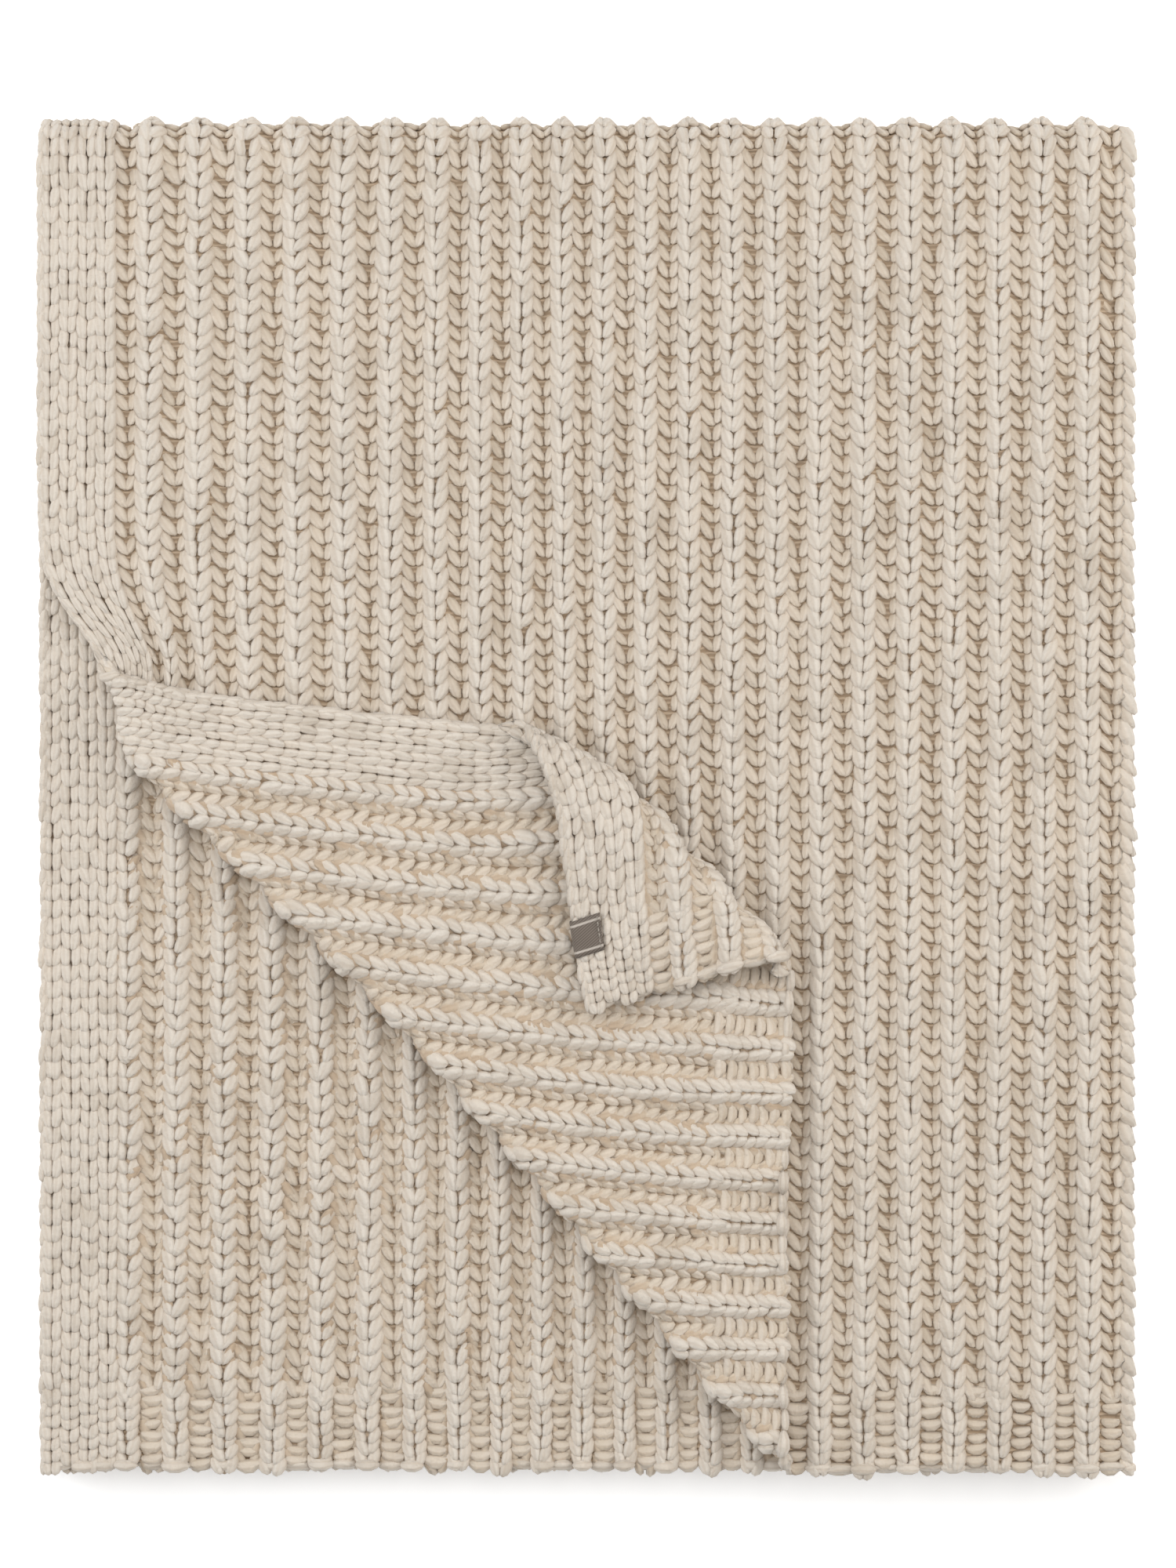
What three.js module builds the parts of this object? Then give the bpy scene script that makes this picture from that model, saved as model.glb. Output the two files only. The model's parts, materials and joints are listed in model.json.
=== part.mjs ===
// A chunky rib-knit throw blanket, folded in half twice into a stack of four plies.
// The top ply's front left corner is turned back over it, and the tip of that corner is turned once more,
// which shows the small woven label that is sewn over the selvedge.
//
// Frame: millimetres, +Z up, +X across the ribs towards the side folds, +Y along the ribs towards the top fold.
// The origin is at the middle of the stack's footprint, on the surface that it lies on.

import * as THREE from "three";

// ---- Driving dimensions ----
const FOLDED_WIDTH = 650; // across the ribs, from the selvedges to the side folds
const FOLDED_LENGTH = 805; // along the ribs, from the hems to the top fold
const PLY = 11; // thickness of one knitted ply
const PLY_AIR = 1.5; // air left between two plies that lie on each other
const SELVEDGE_WIDTH = 40; // plain band along each side edge
const HEM_WIDTH = 42; // tight band along each end
const EDGE_ROUND = 3; // rounding of a ply's edges
const ZONE_GAP = 0.3; // clearance between neighbouring zones of the knit

// The turned corner, as distances from the stack's front left corner: x along the hem, y up the side.
const CORNER_FOLD_ON_SIDE = 477; // where the corner's fold meets the side
const CORNER_FOLD_ON_HEM = 446; // where it meets the hem
const FLAP_START_DROP = 7; // from where the corner's fold meets the side, down to where the selvedge leaves it
const FLAP_START = [6, CORNER_FOLD_ON_SIDE - FLAP_START_DROP]; // where the turned selvedge leaves the fold
const TIP_FOLD_START = [281, 442]; // where the second fold crosses the turned selvedge
const TIP_FOLD_END = [450, 300]; // where it crosses the turned hem
const TIP_POINT = [318, 280]; // the blanket's own corner, after both folds

// The woven label, a strip folded over the selvedge near the tip
const LABEL_WIDTH = 23; // along the selvedge
const LABEL_REACH = 17; // from the selvedge inwards, on both faces
const LABEL_THICKNESS = 0.8;
const LABEL_PLACE = 0.73; // share of the way from the second fold to the blanket's corner
const LABEL_BULGE = 3; // how far the label's own fold stands out past the selvedge
const STITCH_WIDTH = 1;
const STITCH_INSET = 2; // from the label's edges to its row of stitches
const STITCH_THICKNESS = 0.4;

// ---- Materials ----
const YARN_COLOUR = 0xe2d6c6;
const BAND_COLOUR = 0xddd0be;
const LABEL_COLOUR = 0x77716c;
const THREAD_COLOUR = 0xb9b2a8;

function knitMaterial(colour) {
  return new THREE.MeshStandardMaterial({ color: colour, roughness: 0.95, metalness: 0 });
}

// ---- Heights and edges that follow from the driving dimensions ----
const PLY_PITCH = PLY + PLY_AIR;
const LEVEL = { lowerOuter: 0, lowerInner: 1, upperInner: 2, upperOuter: 3, flap: 4, tip: 5 };
const levelBottom = (level) => level * PLY_PITCH;
const levelMiddle = (level) => levelBottom(level) + PLY / 2;
const betweenLevels = (a, b) => (levelMiddle(a) + levelMiddle(b)) / 2;

const LEFT = -FOLDED_WIDTH / 2;
const RIGHT = FOLDED_WIDTH / 2;
const FRONT = -FOLDED_LENGTH / 2;
const BACK = FOLDED_LENGTH / 2;

const TIGHT_FOLD = { inner: PLY_AIR / 2, outer: PLY + PLY_AIR / 2 }; // wraps nothing
const WIDE_FOLD = { inner: PLY + PLY_AIR * 1.5, outer: 2 * PLY + PLY_AIR * 1.5 }; // wraps two plies
const foldMiddle = (fold) => (fold.inner + fold.outer) / 2;

const SIDE_FOLD_X = RIGHT - TIGHT_FOLD.outer; // centre line of the side folds
const TOP_FOLD_Y = BACK - WIDE_FOLD.outer; // centre line of the top folds

// ---- Plane geometry ----
const fromCorner = ([along, up]) => new THREE.Vector2(LEFT + along, FRONT + up);

// A straight cut. Its normal points to the side that a clip keeps.
function cutLine(a, b, keep) {
  const normal = new THREE.Vector2(a.y - b.y, b.x - a.x).normalize();
  if (normal.dot(keep.clone().sub(a)) < 0) normal.negate();
  return { origin: a.clone(), normal };
}

// The same cut moved along its normal.
function shifted(cut, distance) {
  return { origin: cut.origin.clone().addScaledVector(cut.normal, distance), normal: cut.normal };
}

// The same cut keeping its other side.
function flipped(cut) {
  return { origin: cut.origin, normal: cut.normal.clone().negate() };
}

// The part of a convex outline on a cut's kept side.
function clip(outline, cut) {
  const height = (p) => p.clone().sub(cut.origin).dot(cut.normal);
  return outline.flatMap((p, i) => {
    const next = outline[(i + 1) % outline.length];
    const [here, there] = [height(p), height(next)];
    const kept = here >= 0 ? [p] : [];
    if (here * there < 0) kept.push(p.clone().lerp(next, here / (here - there)));
    return kept;
  });
}

const clipAll = (outline, ...cuts) => cuts.reduce(clip, outline);

// A band along a cut, as two cuts: what lies within its width, and what lies past it, a gap apart.
function band(cut, width) {
  return { within: flipped(shifted(cut, width)), past: shifted(cut, width + ZONE_GAP) };
}

// ---- Solids ----
const blanket = new THREE.Group();

function addMesh(name, geometry, colour) {
  const mesh = new THREE.Mesh(geometry, knitMaterial(colour));
  mesh.name = name;
  blanket.add(mesh);
  return mesh;
}

// A flat zone of one ply, with its edges rounded.
function addZone(name, outline, level, colour) {
  const geometry = new THREE.ExtrudeGeometry(new THREE.Shape(outline), {
    depth: PLY - 2 * EDGE_ROUND,
    bevelThickness: EDGE_ROUND,
    bevelSize: EDGE_ROUND,
    bevelOffset: -EDGE_ROUND,
    bevelSegments: 3,
  });
  geometry.translate(0, 0, levelBottom(level) + EDGE_ROUND);
  addMesh(name, geometry, colour);
}

// Places a section drawn with x pointing outwards and y up, extruded along outward x up.
function placeSection(geometry, start, outward, height) {
  const out = new THREE.Vector3(outward.x, outward.y, 0);
  const up = new THREE.Vector3(0, 0, 1);
  const along = out.clone().cross(up);
  const matrix = new THREE.Matrix4().makeBasis(out, up, along);
  matrix.setPosition(start.x, start.y, height);
  return geometry.applyMatrix4(matrix);
}

// A ply bending back over itself: half a ring, open towards the plies that it joins.
function addFold(name, start, outward, length, height, fold, colour) {
  const section = new THREE.Shape();
  section.absarc(0, 0, fold.outer, -Math.PI / 2, Math.PI / 2, false);
  section.absarc(0, 0, fold.inner, Math.PI / 2, -Math.PI / 2, true);
  const geometry = new THREE.ExtrudeGeometry(section, {
    depth: length,
    bevelEnabled: false,
    curveSegments: 16,
  });
  addMesh(name, placeSection(geometry, start, outward, height), colour);
}

// ---- The four plies of the stack ----
const leftSide = cutLine(
  new THREE.Vector2(LEFT, FRONT),
  new THREE.Vector2(LEFT, BACK),
  new THREE.Vector2(0, 0),
);
const frontHem = cutLine(
  new THREE.Vector2(LEFT, FRONT),
  new THREE.Vector2(RIGHT, FRONT),
  new THREE.Vector2(0, 0),
);

const plyOutline = [
  new THREE.Vector2(LEFT, FRONT),
  new THREE.Vector2(SIDE_FOLD_X - ZONE_GAP, FRONT),
  new THREE.Vector2(SIDE_FOLD_X - ZONE_GAP, TOP_FOLD_Y - ZONE_GAP),
  new THREE.Vector2(LEFT, TOP_FOLD_Y - ZONE_GAP),
];

// A ply's body, its selvedge band and its hem band. The hem runs the full width.
function addPly(name, level, ...cuts) {
  const outline = clipAll(plyOutline, ...cuts);
  const hem = band(frontHem, HEM_WIDTH);
  const selvedge = band(leftSide, SELVEDGE_WIDTH);
  addZone(`${name}_panel`, clipAll(outline, hem.past, selvedge.past), level, YARN_COLOUR);
  addZone(`${name}_selvedge`, clipAll(outline, hem.past, selvedge.within), level, BAND_COLOUR);
  addZone(`${name}_hem`, clip(outline, hem.within), level, BAND_COLOUR);
}

// ---- The corner's two folds ----
const cornerFoldTop = fromCorner([0, CORNER_FOLD_ON_SIDE]);
const cornerFoldFront = fromCorner([CORNER_FOLD_ON_HEM, 0]);
const tipFoldStart = fromCorner(TIP_FOLD_START);
const tipFoldEnd = fromCorner(TIP_FOLD_END);
const tipPoint = fromCorner(TIP_POINT);
const flapStart = fromCorner(FLAP_START);

const cornerFold = cutLine(cornerFoldTop, cornerFoldFront, tipFoldStart);
const tipFold = cutLine(tipFoldStart, tipFoldEnd, tipPoint);

// What lies on each side of a fold starts where the bend ends.
const clearOfFold = (cut) => shifted(cut, foldMiddle(TIGHT_FOLD) + ZONE_GAP);

addPly("lower_outer", LEVEL.lowerOuter);
addPly("lower_inner", LEVEL.lowerInner);
addPly("upper_inner", LEVEL.upperInner);
addPly("upper_outer", LEVEL.upperOuter, clearOfFold(cornerFold));

const sideFoldStart = new THREE.Vector2(SIDE_FOLD_X, TOP_FOLD_Y - ZONE_GAP);
const sideFoldLength = TOP_FOLD_Y - ZONE_GAP - FRONT;
const toTheRight = new THREE.Vector2(1, 0);
[
  ["lower_side_fold", LEVEL.lowerOuter, LEVEL.lowerInner],
  ["upper_side_fold", LEVEL.upperInner, LEVEL.upperOuter],
].forEach(([name, below, above]) => {
  const height = betweenLevels(below, above);
  addFold(name, sideFoldStart, toTheRight, sideFoldLength, height, TIGHT_FOLD, YARN_COLOUR);
});

const topFoldStart = new THREE.Vector2(LEFT, TOP_FOLD_Y);
const topFoldHeight = betweenLevels(LEVEL.lowerOuter, LEVEL.upperOuter);
const toTheBack = new THREE.Vector2(0, 1);
[
  ["top_fold_inner", TIGHT_FOLD],
  ["top_fold_outer", WIDE_FOLD],
].forEach(([name, fold]) => {
  addFold(name, topFoldStart, toTheBack, FOLDED_WIDTH, topFoldHeight, fold, YARN_COLOUR);
});

// ---- The turned corner ----
const flapOutline = [flapStart, cornerFoldFront, tipFoldEnd, tipFoldStart];
const flapSide = cutLine(flapStart, tipFoldStart, cornerFoldFront);
const flapHem = cutLine(cornerFoldFront, tipFoldEnd, tipFoldStart);
const flapSelvedge = band(flapSide, SELVEDGE_WIDTH);
const flapHemBand = band(flapHem, HEM_WIDTH);
const flapBody = clipAll(flapOutline, clearOfFold(cornerFold), clearOfFold(tipFold));

addZone("corner_panel", clipAll(flapBody, flapSelvedge.past, flapHemBand.past), LEVEL.flap, YARN_COLOUR);
addZone("corner_selvedge", clipAll(flapBody, flapSelvedge.within, flapHemBand.past), LEVEL.flap, BAND_COLOUR);
addZone("corner_hem", clip(flapBody, flapHemBand.within), LEVEL.flap, BAND_COLOUR);

// ---- The turned tip ----
const tipOutline = [tipFoldStart, tipPoint, tipFoldEnd];
const tipSide = cutLine(tipFoldStart, tipPoint, tipFoldEnd);
const tipHem = cutLine(tipPoint, tipFoldEnd, tipFoldStart);
const tipSelvedge = band(tipSide, SELVEDGE_WIDTH);
const tipHemBand = band(tipHem, HEM_WIDTH);
const tipBody = clip(tipOutline, clearOfFold(tipFold));

addZone("tip_panel", clipAll(tipBody, tipSelvedge.past, tipHemBand.past), LEVEL.tip, YARN_COLOUR);
addZone("tip_selvedge", clipAll(tipBody, tipSelvedge.within, tipHemBand.past), LEVEL.tip, BAND_COLOUR);
addZone("tip_hem", clip(tipBody, tipHemBand.within), LEVEL.tip, BAND_COLOUR);

// A bend along one of the corner's fold lines, from one end of the line to the other, inset from both ends.
function addCornerBend(name, from, to, cut, below, above) {
  const inset = TIGHT_FOLD.outer;
  const along = to.clone().sub(from).normalize();
  const start = from
    .clone()
    .addScaledVector(along, inset)
    .addScaledVector(cut.normal, foldMiddle(TIGHT_FOLD));
  const length = from.distanceTo(to) - 2 * inset;
  const outward = cut.normal.clone().negate();
  addFold(name, start, outward, length, betweenLevels(below, above), TIGHT_FOLD, YARN_COLOUR);
}

addCornerBend("corner_fold", cornerFoldFront, cornerFoldTop, cornerFold, LEVEL.upperOuter, LEVEL.flap);
addCornerBend("tip_fold", tipFoldStart, tipFoldEnd, tipFold, LEVEL.flap, LEVEL.tip);

// ---- The label and its stitching ----
const labelOutward = tipSide.normal.clone().negate();
const labelAlong = new THREE.Vector2(labelOutward.y, -labelOutward.x);
const labelCentre = tipFoldStart.clone().lerp(tipPoint, LABEL_PLACE);
const labelStart = labelCentre.clone().addScaledVector(labelAlong, -LABEL_WIDTH / 2);

function labelSection() {
  const inner = PLY / 2 + ZONE_GAP;
  const outer = inner + LABEL_THICKNESS;
  const section = new THREE.Shape();
  section.moveTo(-LABEL_REACH, -outer);
  section.lineTo(0, -outer);
  section.bezierCurveTo(LABEL_BULGE, -outer, LABEL_BULGE, outer, 0, outer);
  section.lineTo(-LABEL_REACH, outer);
  section.lineTo(-LABEL_REACH, inner);
  section.lineTo(ZONE_GAP, inner);
  section.lineTo(ZONE_GAP, -inner);
  section.lineTo(-LABEL_REACH, -inner);
  return section;
}

const labelGeometry = new THREE.ExtrudeGeometry(labelSection(), {
  depth: LABEL_WIDTH,
  bevelEnabled: false,
});
addMesh(
  "woven_label",
  placeSection(labelGeometry, labelStart, labelOutward, levelMiddle(LEVEL.tip)),
  LABEL_COLOUR,
);

const stitchGeometry = new THREE.BoxGeometry(
  STITCH_WIDTH,
  STITCH_THICKNESS,
  LABEL_WIDTH - 2 * STITCH_INSET,
);
const stitchCentre = labelCentre.clone().addScaledVector(labelOutward, STITCH_INSET - LABEL_REACH);
const stitchHeight = levelBottom(LEVEL.tip) + PLY + ZONE_GAP * 2 + LABEL_THICKNESS + STITCH_THICKNESS / 2;
addMesh(
  "label_stitching",
  placeSection(stitchGeometry, stitchCentre, labelOutward, stitchHeight),
  THREAD_COLOUR,
);

export default blanket;
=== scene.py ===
"""Looks of a chunky rib-knit throw blanket, folded in half twice, with one corner turned back.

The blanket is made the way it is knitted: every loop of yarn is two legs, laid out on the flat cloth.
A few folding functions then carry the flat cloth to where it lies in the stack.
Lengths are in millimetres until a mesh is finished.
"""

import json
import math

import bmesh
import bpy
import numpy as np
from mathutils import Matrix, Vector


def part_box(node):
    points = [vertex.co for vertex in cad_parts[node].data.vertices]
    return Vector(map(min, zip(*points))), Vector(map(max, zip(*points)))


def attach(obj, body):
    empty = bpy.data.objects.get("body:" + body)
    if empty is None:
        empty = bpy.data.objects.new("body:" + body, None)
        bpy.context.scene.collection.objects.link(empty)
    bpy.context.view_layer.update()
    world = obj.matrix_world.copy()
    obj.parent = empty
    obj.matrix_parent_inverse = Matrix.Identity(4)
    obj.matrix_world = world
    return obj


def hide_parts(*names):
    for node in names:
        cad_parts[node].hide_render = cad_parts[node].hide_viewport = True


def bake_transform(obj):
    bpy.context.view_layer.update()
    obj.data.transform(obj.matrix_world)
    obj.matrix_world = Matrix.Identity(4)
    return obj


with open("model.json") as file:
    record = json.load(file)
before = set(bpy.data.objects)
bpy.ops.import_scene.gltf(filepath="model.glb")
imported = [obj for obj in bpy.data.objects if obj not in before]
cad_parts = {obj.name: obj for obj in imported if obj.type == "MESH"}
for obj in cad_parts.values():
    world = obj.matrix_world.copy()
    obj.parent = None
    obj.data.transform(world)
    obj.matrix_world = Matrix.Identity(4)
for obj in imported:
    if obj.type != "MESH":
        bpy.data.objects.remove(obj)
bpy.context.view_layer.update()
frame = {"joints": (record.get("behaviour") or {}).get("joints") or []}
MM = 0.001
rng = np.random.default_rng(11)

# ---- Places that the frame gives ----


def node_box(name):
    """The low and high corners of one of the frame's nodes, in millimetres."""
    low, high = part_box(name)
    return np.array(low) / MM, np.array(high) / MM


def middle_height(name):
    """The height of the middle of one of the frame's nodes."""
    low, high = node_box(name)
    return (low[2] + high[2]) / 2


def hinge(name):
    """A joint's place in millimetres, and its axis."""
    joint = next(j for j in frame["joints"] if j["name"] == name)
    return np.array(joint["pos_m"]) / MM, np.array(joint["axis"], float)


ZONE_GAP = 0.3  # clearance that the frame leaves between zones of one ply
LEFT, FRONT = node_box("lower_outer_hem")[0][:2]
SIDE_BEND_X = node_box("lower_outer_hem")[1][0] + ZONE_GAP
TOP_BEND_Y = node_box("lower_outer_panel")[1][1] + ZONE_GAP
PLY_PITCH = middle_height("lower_inner_panel") - middle_height("lower_outer_panel")
PLY_HEIGHT = middle_height("upper_outer_panel")
TOP_BEND_Z = (PLY_HEIGHT + middle_height("lower_outer_panel")) / 2
FOLD_RADIUS = PLY_PITCH / 2
SIDE_START = SIDE_BEND_X - LEFT  # where the side fold starts on the flat cloth
TOP_START = TOP_BEND_Y - FRONT  # and where the top fold does
SIDE_ROLL = math.pi * FOLD_RADIUS  # length of the cloth that goes round a fold of this radius
CLOTH_WIDTH = 2 * SIDE_START + SIDE_ROLL

# ---- The knit ----
SELVEDGE = 44.0  # plain band of narrow columns
SELVEDGE_COLUMNS = 4
HEM = 42.0  # tight rib band
HEM_ROWS = 6
ROW = 9.6  # one course of the body
RIBS = 45  # knit columns across the whole blanket, with a valley on both sides of each
VALLEY_SHARE = 0.45
RIB = (CLOTH_WIDTH - 2 * SELVEDGE) / (RIBS + VALLEY_SHARE)
FIRST_RIDGE = SELVEDGE + RIB * (1 + VALLEY_SHARE) / 2
SWELL = 2.3  # how far the cloth's middle rises under a ridge and dips under a valley
SWELL_FROM = 6.0  # inside the selvedge's edge, where the swell starts
SWELL_REACH = 14.0  # and how far it takes to reach its height
SPREAD = 12.0  # the furthest that a rib lies in from its even place
SPREAD_AT = 210.0  # from the side edge to that rib
SPREAD_WIDTH = 130.0
SPREAD_START = 40.0  # how far past the selvedge the spread takes hold
BODY_ROWS = round((TOP_START - HEM) / ROW)
BODY_ROW = (TOP_START - HEM) / BODY_ROWS
TOP_FOLD_NOMINAL = math.pi * PLY_PITCH  # one length for both halves of the top fold
PRESSED_FROM = 3.0  # below this height the loops are pressed flat against what the blanket lies on

PROBE = 0.6  # how far to each side the cloth is felt for the way that it faces

# ---- The turned corner and its tip ----
FLAP_LENGTH = 0.946  # of the turned cloth, against its own length when it is flat
FLAP_GATHER = 0.000474  # how much narrower the flap grows with each mm away from its fold
FLAP_GATHER_AT = 325.0  # the place along the fold that it gathers towards
CORNER_BOW = 11.0  # how far the corner's fold bows in from a straight line
CORNER_BOW_LENGTH = 640.0
CORNER_BOW_REACH = 110.0  # how far from the fold the bow dies away
PULL = 37.0  # how far the side is pulled in where the turned selvedge leaves it
PULL_AT = 70.0  # behind the blanket's middle
PULL_WIDTH = 42.0
PULL_REACH = 64.0  # how far from the side the pull dies away
TIP_FOLD_LENGTH = 221.0
TIP_FOLD_HALF = 110.4  # from the tip's joint to its fold's end at the selvedge
TIP_ROLL_AT_EDGE = 5.0  # the bend's radius at the selvedge
TIP_ROLL = 13.0  # and away from it
TIP_ROLL_REACH = 90.0  # how far along the bend it takes to get there
TIP_PUFF = 7.0  # how far the tip stands up past its bend
TIP_PUFF_WIDTH = 34.0
TIP_BOW = 13.0  # how far the tip's fold bows outwards
TIP_BOW_SHAPE = 0.8  # below 1 the bow is fuller at its ends
TIP_KNUCKLE = 8.0  # a further bulge of the fold near the selvedge
TIP_KNUCKLE_AT = 70.0  # from the fold's end at the selvedge
TIP_KNUCKLE_WIDTH = 40.0
TIP_BOW_REACH = 48.0  # how far from the fold the bow and the bulge die away
NOT_REACHED = -1e3  # stands for a place that a bend is nowhere near


def unit(vector):
    """The same direction with a length of one."""
    return np.array(vector, float) / np.linalg.norm(vector)


corner_hinge, corner_axis = hinge("open_corner")
tip_hinge, tip_axis = hinge("open_tip")
CORNER_ALONG = unit(corner_axis[:2])
CORNER_OUT = np.array([CORNER_ALONG[1], -CORNER_ALONG[0]])
if CORNER_OUT[0] > 0:
    CORNER_OUT = -CORNER_OUT
CORNER_START = corner_hinge[:2] - CORNER_ALONG * (corner_hinge[0] - LEFT) / CORNER_ALONG[0]
TIP_ALONG = -unit(tip_axis[:2])
TIP_OUT = np.array([-TIP_ALONG[1], TIP_ALONG[0]])
TIP_START = tip_hinge[:2] - TIP_ALONG * TIP_FOLD_HALF


# ---- From the flat cloth to the folded stack ----


def bell(x, middle, width):
    """One in the middle, dying away to both sides."""
    return np.exp(-(((x - middle) / width) ** 2))


def smooth(x):
    """Eases from none at 0 to all at 1."""
    t = np.clip(x, 0, 1)
    return t * t * (3 - 2 * t)


def bend_over(past, radius):
    """Distance past the start of a half turn, as how far out it reaches and how far up it has turned."""
    turn = np.clip(past / radius, 0, math.pi)
    out = np.minimum(past, 0) + radius * np.sin(turn)
    return out - np.maximum(past - math.pi * radius, 0), np.cos(turn)


def spread_ribs(across):
    """The ribs stand wider apart past the selvedges, where the cloth was pulled."""
    inward = np.minimum(across, CLOTH_WIDTH - across)
    hold = 1 - np.exp(-np.maximum(inward - SELVEDGE, 0) / SPREAD_START)
    extra = SPREAD * bell(inward, SPREAD_AT, SPREAD_WIDTH) * hold
    return across + np.where(across < CLOTH_WIDTH / 2, extra, -extra)


def past_corner_bend(x, y):
    """How far a point of the top ply lies past the start of the corner's bend, and how far along it."""
    dx, dy = x - CORNER_START[0], y - CORNER_START[1]
    past = dx * CORNER_OUT[0] + dy * CORNER_OUT[1] + FOLD_RADIUS
    return past, dx * CORNER_ALONG[0] + dy * CORNER_ALONG[1]


def past_tip_bend(x, y):
    """The same for the tip's bend, with its radius: tight at the selvedge, and wider away from it."""
    dx, dy = x - TIP_START[0], y - TIP_START[1]
    along = dx * TIP_ALONG[0] + dy * TIP_ALONG[1]
    radius = TIP_ROLL_AT_EDGE + (TIP_ROLL - TIP_ROLL_AT_EDGE) * smooth(along / TIP_ROLL_REACH)
    past = dx * TIP_OUT[0] + dy * TIP_OUT[1] + radius * math.pi / 2
    return past, along, radius


def turn_corner(x, y, z):
    """Turns the top ply's corner back over it. Returns the place, and how far it has turned at each bend."""
    past, along = past_corner_bend(x, y)
    reach, lift = bend_over(past, FOLD_RADIUS)
    over = np.maximum(past - SIDE_ROLL, 0)
    reach = reach + over * (1 - FLAP_LENGTH)
    gathered = along - FLAP_GATHER * (along - FLAP_GATHER_AT) * over
    out = np.where(past > 0, reach - FOLD_RADIUS, past - FOLD_RADIUS)
    gathered = np.where(past > 0, gathered, along)
    x1 = CORNER_START[0] + CORNER_OUT[0] * out + CORNER_ALONG[0] * gathered
    y1 = CORNER_START[1] + CORNER_OUT[1] * out + CORNER_ALONG[1] * gathered
    z1 = z + FOLD_RADIUS * (1 - lift)

    tip_past, tip_along, tip_radius = past_tip_bend(x1, y1)
    tip_past = np.where(past > SIDE_ROLL, tip_past, NOT_REACHED)
    reach, lift = bend_over(tip_past, tip_radius)
    turned = tip_past > 0
    shift = np.where(turned, reach - tip_past, 0)
    x2 = x1 + TIP_OUT[0] * shift
    y2 = y1 + TIP_OUT[1] * shift
    inside = np.maximum(tip_radius - reach, 0)
    puff = np.where(turned, TIP_PUFF * bell(inside, tip_radius, TIP_PUFF_WIDTH) * (1 - lift) / 2, 0)
    z2 = z1 + np.where(turned, FOLD_RADIUS * (1 - lift), 0) + puff

    near_tip = np.where(past > SIDE_ROLL, np.exp(-((inside / TIP_BOW_REACH) ** 2)), 0)
    bow = TIP_BOW * np.sin(math.pi * np.clip(tip_along / TIP_FOLD_LENGTH, 0, 1)) ** TIP_BOW_SHAPE
    bulge = TIP_KNUCKLE * bell(tip_along, TIP_KNUCKLE_AT, TIP_KNUCKLE_WIDTH) + bow
    x2 = x2 + TIP_OUT[0] * bulge * near_tip
    y2 = y2 + TIP_OUT[1] * bulge * near_tip
    return x2, y2, z2, past / FOLD_RADIUS, tip_past / tip_radius


def pull_edge(x, y):
    """The side is pulled in where the turned selvedge leaves it, and the corner's fold is bowed."""
    pull = PULL * bell(y, PULL_AT, PULL_WIDTH) * np.exp(-(((x - LEFT) / PULL_REACH) ** 2))
    _, along = past_corner_bend(x, y)
    off = (x - CORNER_START[0]) * CORNER_OUT[0] + (y - CORNER_START[1]) * CORNER_OUT[1]
    rise = np.sin(math.pi * np.clip(along / CORNER_BOW_LENGTH, 0, 1)) ** 2
    bow = CORNER_BOW * rise * np.exp(-np.abs(off) / CORNER_BOW_REACH)
    return x + pull - CORNER_OUT[0] * bow, y - CORNER_OUT[1] * bow


def waves(x, y):
    """The cloth's slow unevenness: two ripples, each about half a millimetre high."""
    return 0.5 * np.sin(x / 47 + y / 83) + 0.4 * np.sin(y / 39 - x / 71 + 1.3)


def lay(across, along):
    """Where a point of the flat cloth lies in the stack: its place, and how far the corner's bends turn it.

    Across runs from the upper selvedge round the side fold to the other. Along runs from the upper hem, over
    the top fold with a nominal length, to the lower hem.
    """
    reach, lift = bend_over(across - SIDE_START, FOLD_RADIUS)
    x = SIDE_BEND_X + reach
    height = PLY_PITCH + FOLD_RADIUS * lift
    turn = np.clip((along - TOP_START) / TOP_FOLD_NOMINAL, 0, 1) * math.pi
    past = np.maximum(along - TOP_START - TOP_FOLD_NOMINAL, 0)
    y = TOP_BEND_Y + np.minimum(along - TOP_START, 0) - past + height * np.sin(turn)
    z = TOP_BEND_Z + height * np.cos(turn)

    cornered = (across < SIDE_START) & (along < TOP_START)
    x1, y1, z1, corner_turn, tip_turn = turn_corner(x, y, z)
    x1, y1 = pull_edge(x1, y1)
    x = np.where(cornered, x1, x)
    y = np.where(cornered, y1, y)
    z = np.where(cornered, z1, z) + waves(x, y)
    return np.stack([x, y, z], axis=-1), np.where(cornered, corner_turn, -1), np.where(cornered, tip_turn, -1)


def swell(across, along):
    """How far the cloth's middle stands off its fold surface: up under a ridge, down under a valley."""
    inward = np.minimum(across, CLOTH_WIDTH - across)
    amount = SWELL * smooth((inward - SELVEDGE + SWELL_FROM) / SWELL_REACH)
    return amount * np.cos(2 * math.pi * (across - FIRST_RIDGE) / RIB)


def drape(points):
    """Carries points from the flat cloth to the stack: across it, along it and off its surface."""
    across, along, off = points[:, 0], points[:, 1], points[:, 2]
    rise = off + swell(across, along)
    across = spread_ribs(across)
    place, _, _ = lay(across, along)
    run = lay(across + PROBE, along)[0] - lay(across - PROBE, along)[0]
    climb = lay(across, along + PROBE)[0] - lay(across, along - PROBE)[0]
    normal = np.cross(run, climb)
    normal /= np.maximum(np.linalg.norm(normal, axis=1), 1e-9)[:, None]
    place = place + normal * rise[:, None]
    pressed = PRESSED_FROM * np.exp(np.minimum(place[:, 2] - PRESSED_FROM, 0) / PRESSED_FROM)
    place[:, 2] = np.where(place[:, 2] < PRESSED_FROM, pressed, place[:, 2])
    return place


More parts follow.
